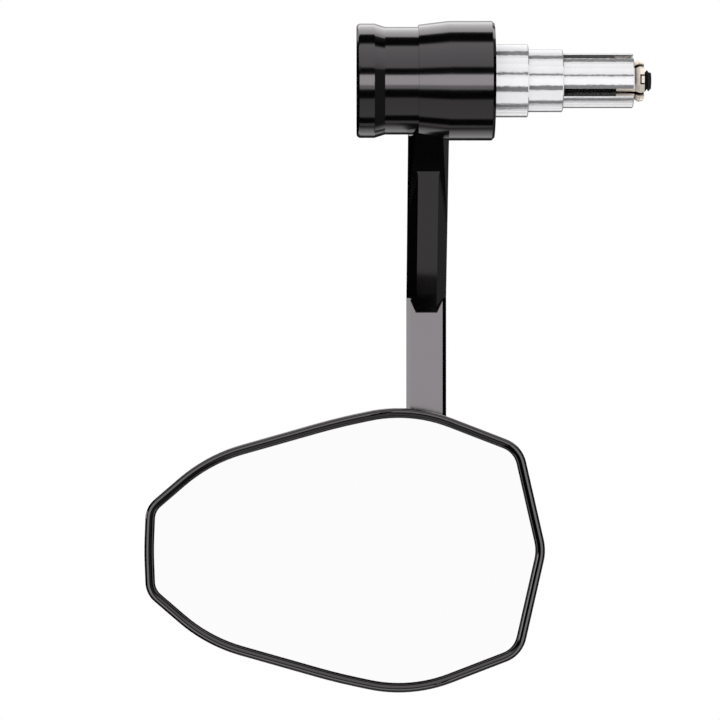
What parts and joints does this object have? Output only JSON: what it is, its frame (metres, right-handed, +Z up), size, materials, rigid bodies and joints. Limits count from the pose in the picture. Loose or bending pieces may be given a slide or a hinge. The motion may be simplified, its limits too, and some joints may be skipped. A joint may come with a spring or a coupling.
{
  "type": "motorcycle bar end mirror",
  "caption": "Bar end mirror: turned clamp with expanding sleeve, faceted swivelling arm and a flat kite-shaped mirror head on a ball joint.",
  "frame": {"origin": "on the handlebar axis, in the plane of the bar's end, where the clamp ring's flat face meets the sleeves", "axes": "+X along the bar axis into the handlebar, +Y ahead of the rider, +Z up; the mirror faces -Y"},
  "size_m": [0.1455, 0.0711, 0.1931],
  "materials": {
    "black_anodised": "gloss black anodised aluminium",
    "black_steel": "black oxide",
    "nylon": "moulded",
    "turned_aluminium": "turned",
    "pale_brass": "satin",
    "zinc_steel": "zinc plated",
    "adhesive_foam": "foam",
    "mirror_glass": "silvered"
  },
  "bodies": {
    "bar_clamp": {"end_cap": "black_anodised", "swivel_washer": "nylon", "screw_washer": "black_steel", "expander_sleeve": "turned_aluminium", "large_sleeve_ring": "turned_aluminium", "middle_sleeve_ring": "turned_aluminium"},
    "screw": {"clamp_screw": "black_steel"},
    "cone": {"expander_cone": "pale_brass", "cone_nut": "pale_brass"},
    "arm": {"mirror_arm": "black_anodised"},
    "stud": {"ball_stud": "zinc_steel", "stud_washer": "zinc_steel", "stud_lock_washer": "zinc_steel", "stud_nut": "zinc_steel"},
    "liner": {"ball_liner": "nylon"},
    "head": {"mirror_housing": "black_anodised", "socket_cap": "black_anodised", "socket_cap_screws": "black_steel", "mirror_pad": "adhesive_foam", "mirror_glass": "mirror_glass"}
  },
  "joints": [
    {"name": "screw_turn", "type": "hinge", "parent": "bar_clamp", "child": "screw", "pos_m": [0, 0, 0], "axis": [1, 0, 0], "range_deg": [0, 900]},
    {"name": "cone_draw", "type": "slide", "parent": "bar_clamp", "child": "cone", "axis": [-1, 0, 0], "range_m": [0, 0.0025]},
    {"name": "arm_swivel", "type": "hinge", "parent": "bar_clamp", "child": "arm", "pos_m": [0, 0, 0], "axis": [1, 0, 0], "continuous": true},
    {"name": "head_roll", "type": "hinge", "parent": "arm", "child": "stud", "pos_m": [-0.01865, 0.027, -0.13487], "axis": [0, 1, 0], "range_deg": [-30, 30]},
    {"name": "head_tilt", "type": "hinge", "parent": "stud", "child": "liner", "pos_m": [-0.01865, 0.027, -0.13487], "axis": [1, 0, 0], "range_deg": [-12, 12]},
    {"name": "head_pan", "type": "hinge", "parent": "liner", "child": "head", "pos_m": [-0.01865, 0.027, -0.13487], "axis": [0, 0, 1], "range_deg": [-12, 12]}
  ],
  "couplings": [
    {"joint": "cone_draw", "follows": "screw_turn", "m_per_rad": 0.00015915}
  ]
}
